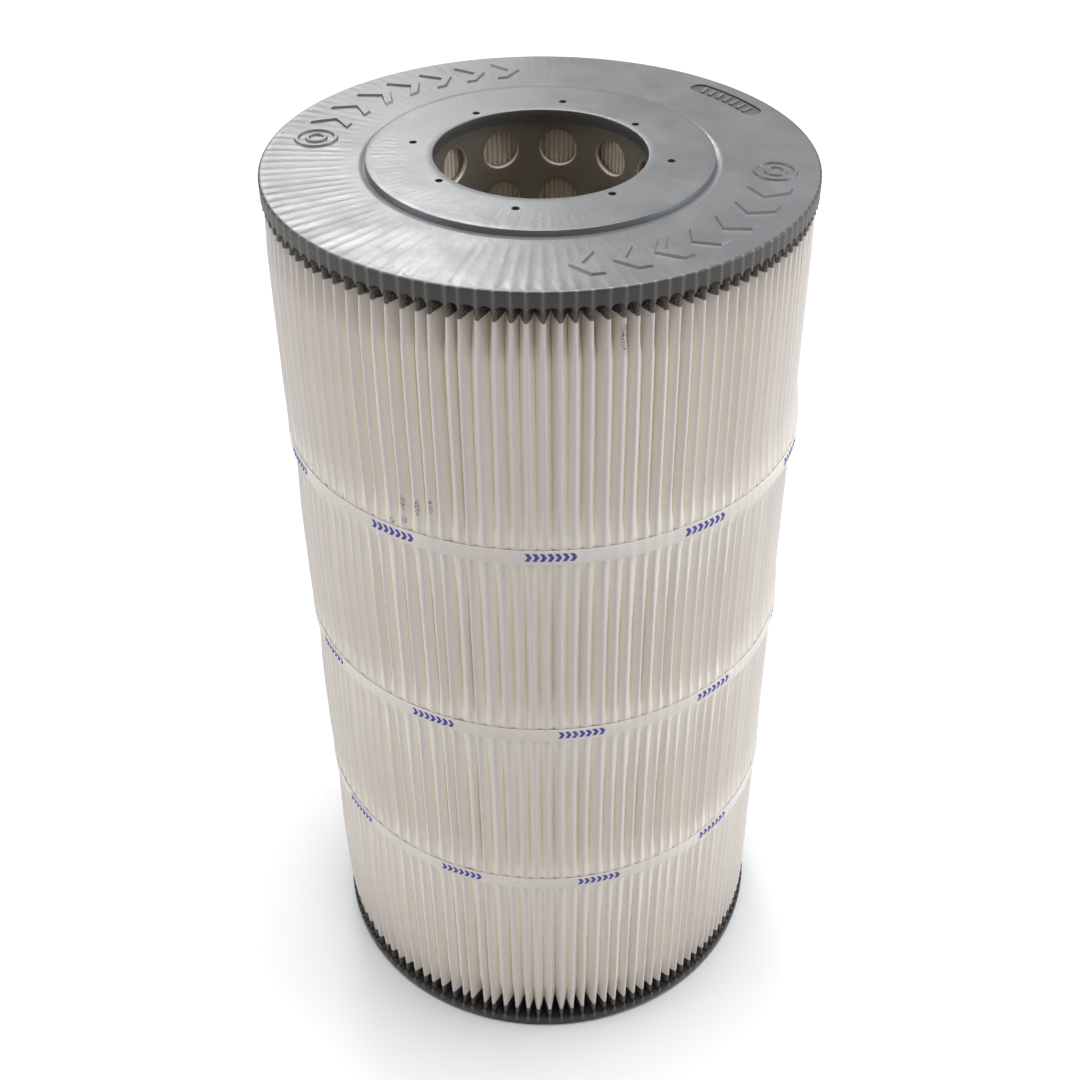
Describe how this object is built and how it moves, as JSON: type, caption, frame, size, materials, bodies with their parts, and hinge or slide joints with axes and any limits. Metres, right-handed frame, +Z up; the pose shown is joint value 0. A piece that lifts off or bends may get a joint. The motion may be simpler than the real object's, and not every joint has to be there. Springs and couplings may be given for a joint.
{
  "type": "filter cartridge",
  "caption": "Cylindrical pleated pool filter cartridge: grey cast end caps with an open bore, perforated core, white folded media and welded cloth bands.",
  "frame": {"origin": "centre of the lower end cap's raised face, which the cartridge stands on", "axes": "+Z up the cartridge's axis, towards the end cap with the deeper rim"},
  "size_m": [0.256, 0.256, 0.4935],
  "materials": {
    "end_cap": "cast polyurethane, semi-gloss, with faint radial ripples",
    "core": "extruded tube, satin",
    "media": "spun-bonded polyester cloth, matte, faintly fibrous",
    "band": "spun-bonded strap, slightly translucent, with short blue printed marks",
    "adhesive": "hot-melt adhesive"
  },
  "bodies": {
    "root": {"top_end_cap": "end_cap", "bottom_end_cap": "end_cap", "core_tube": "core", "pleated_media": "media", "media_side_seam": "adhesive", "lower_band": "band", "middle_band": "band", "upper_band": "band"}
  },
  "joints": []
}
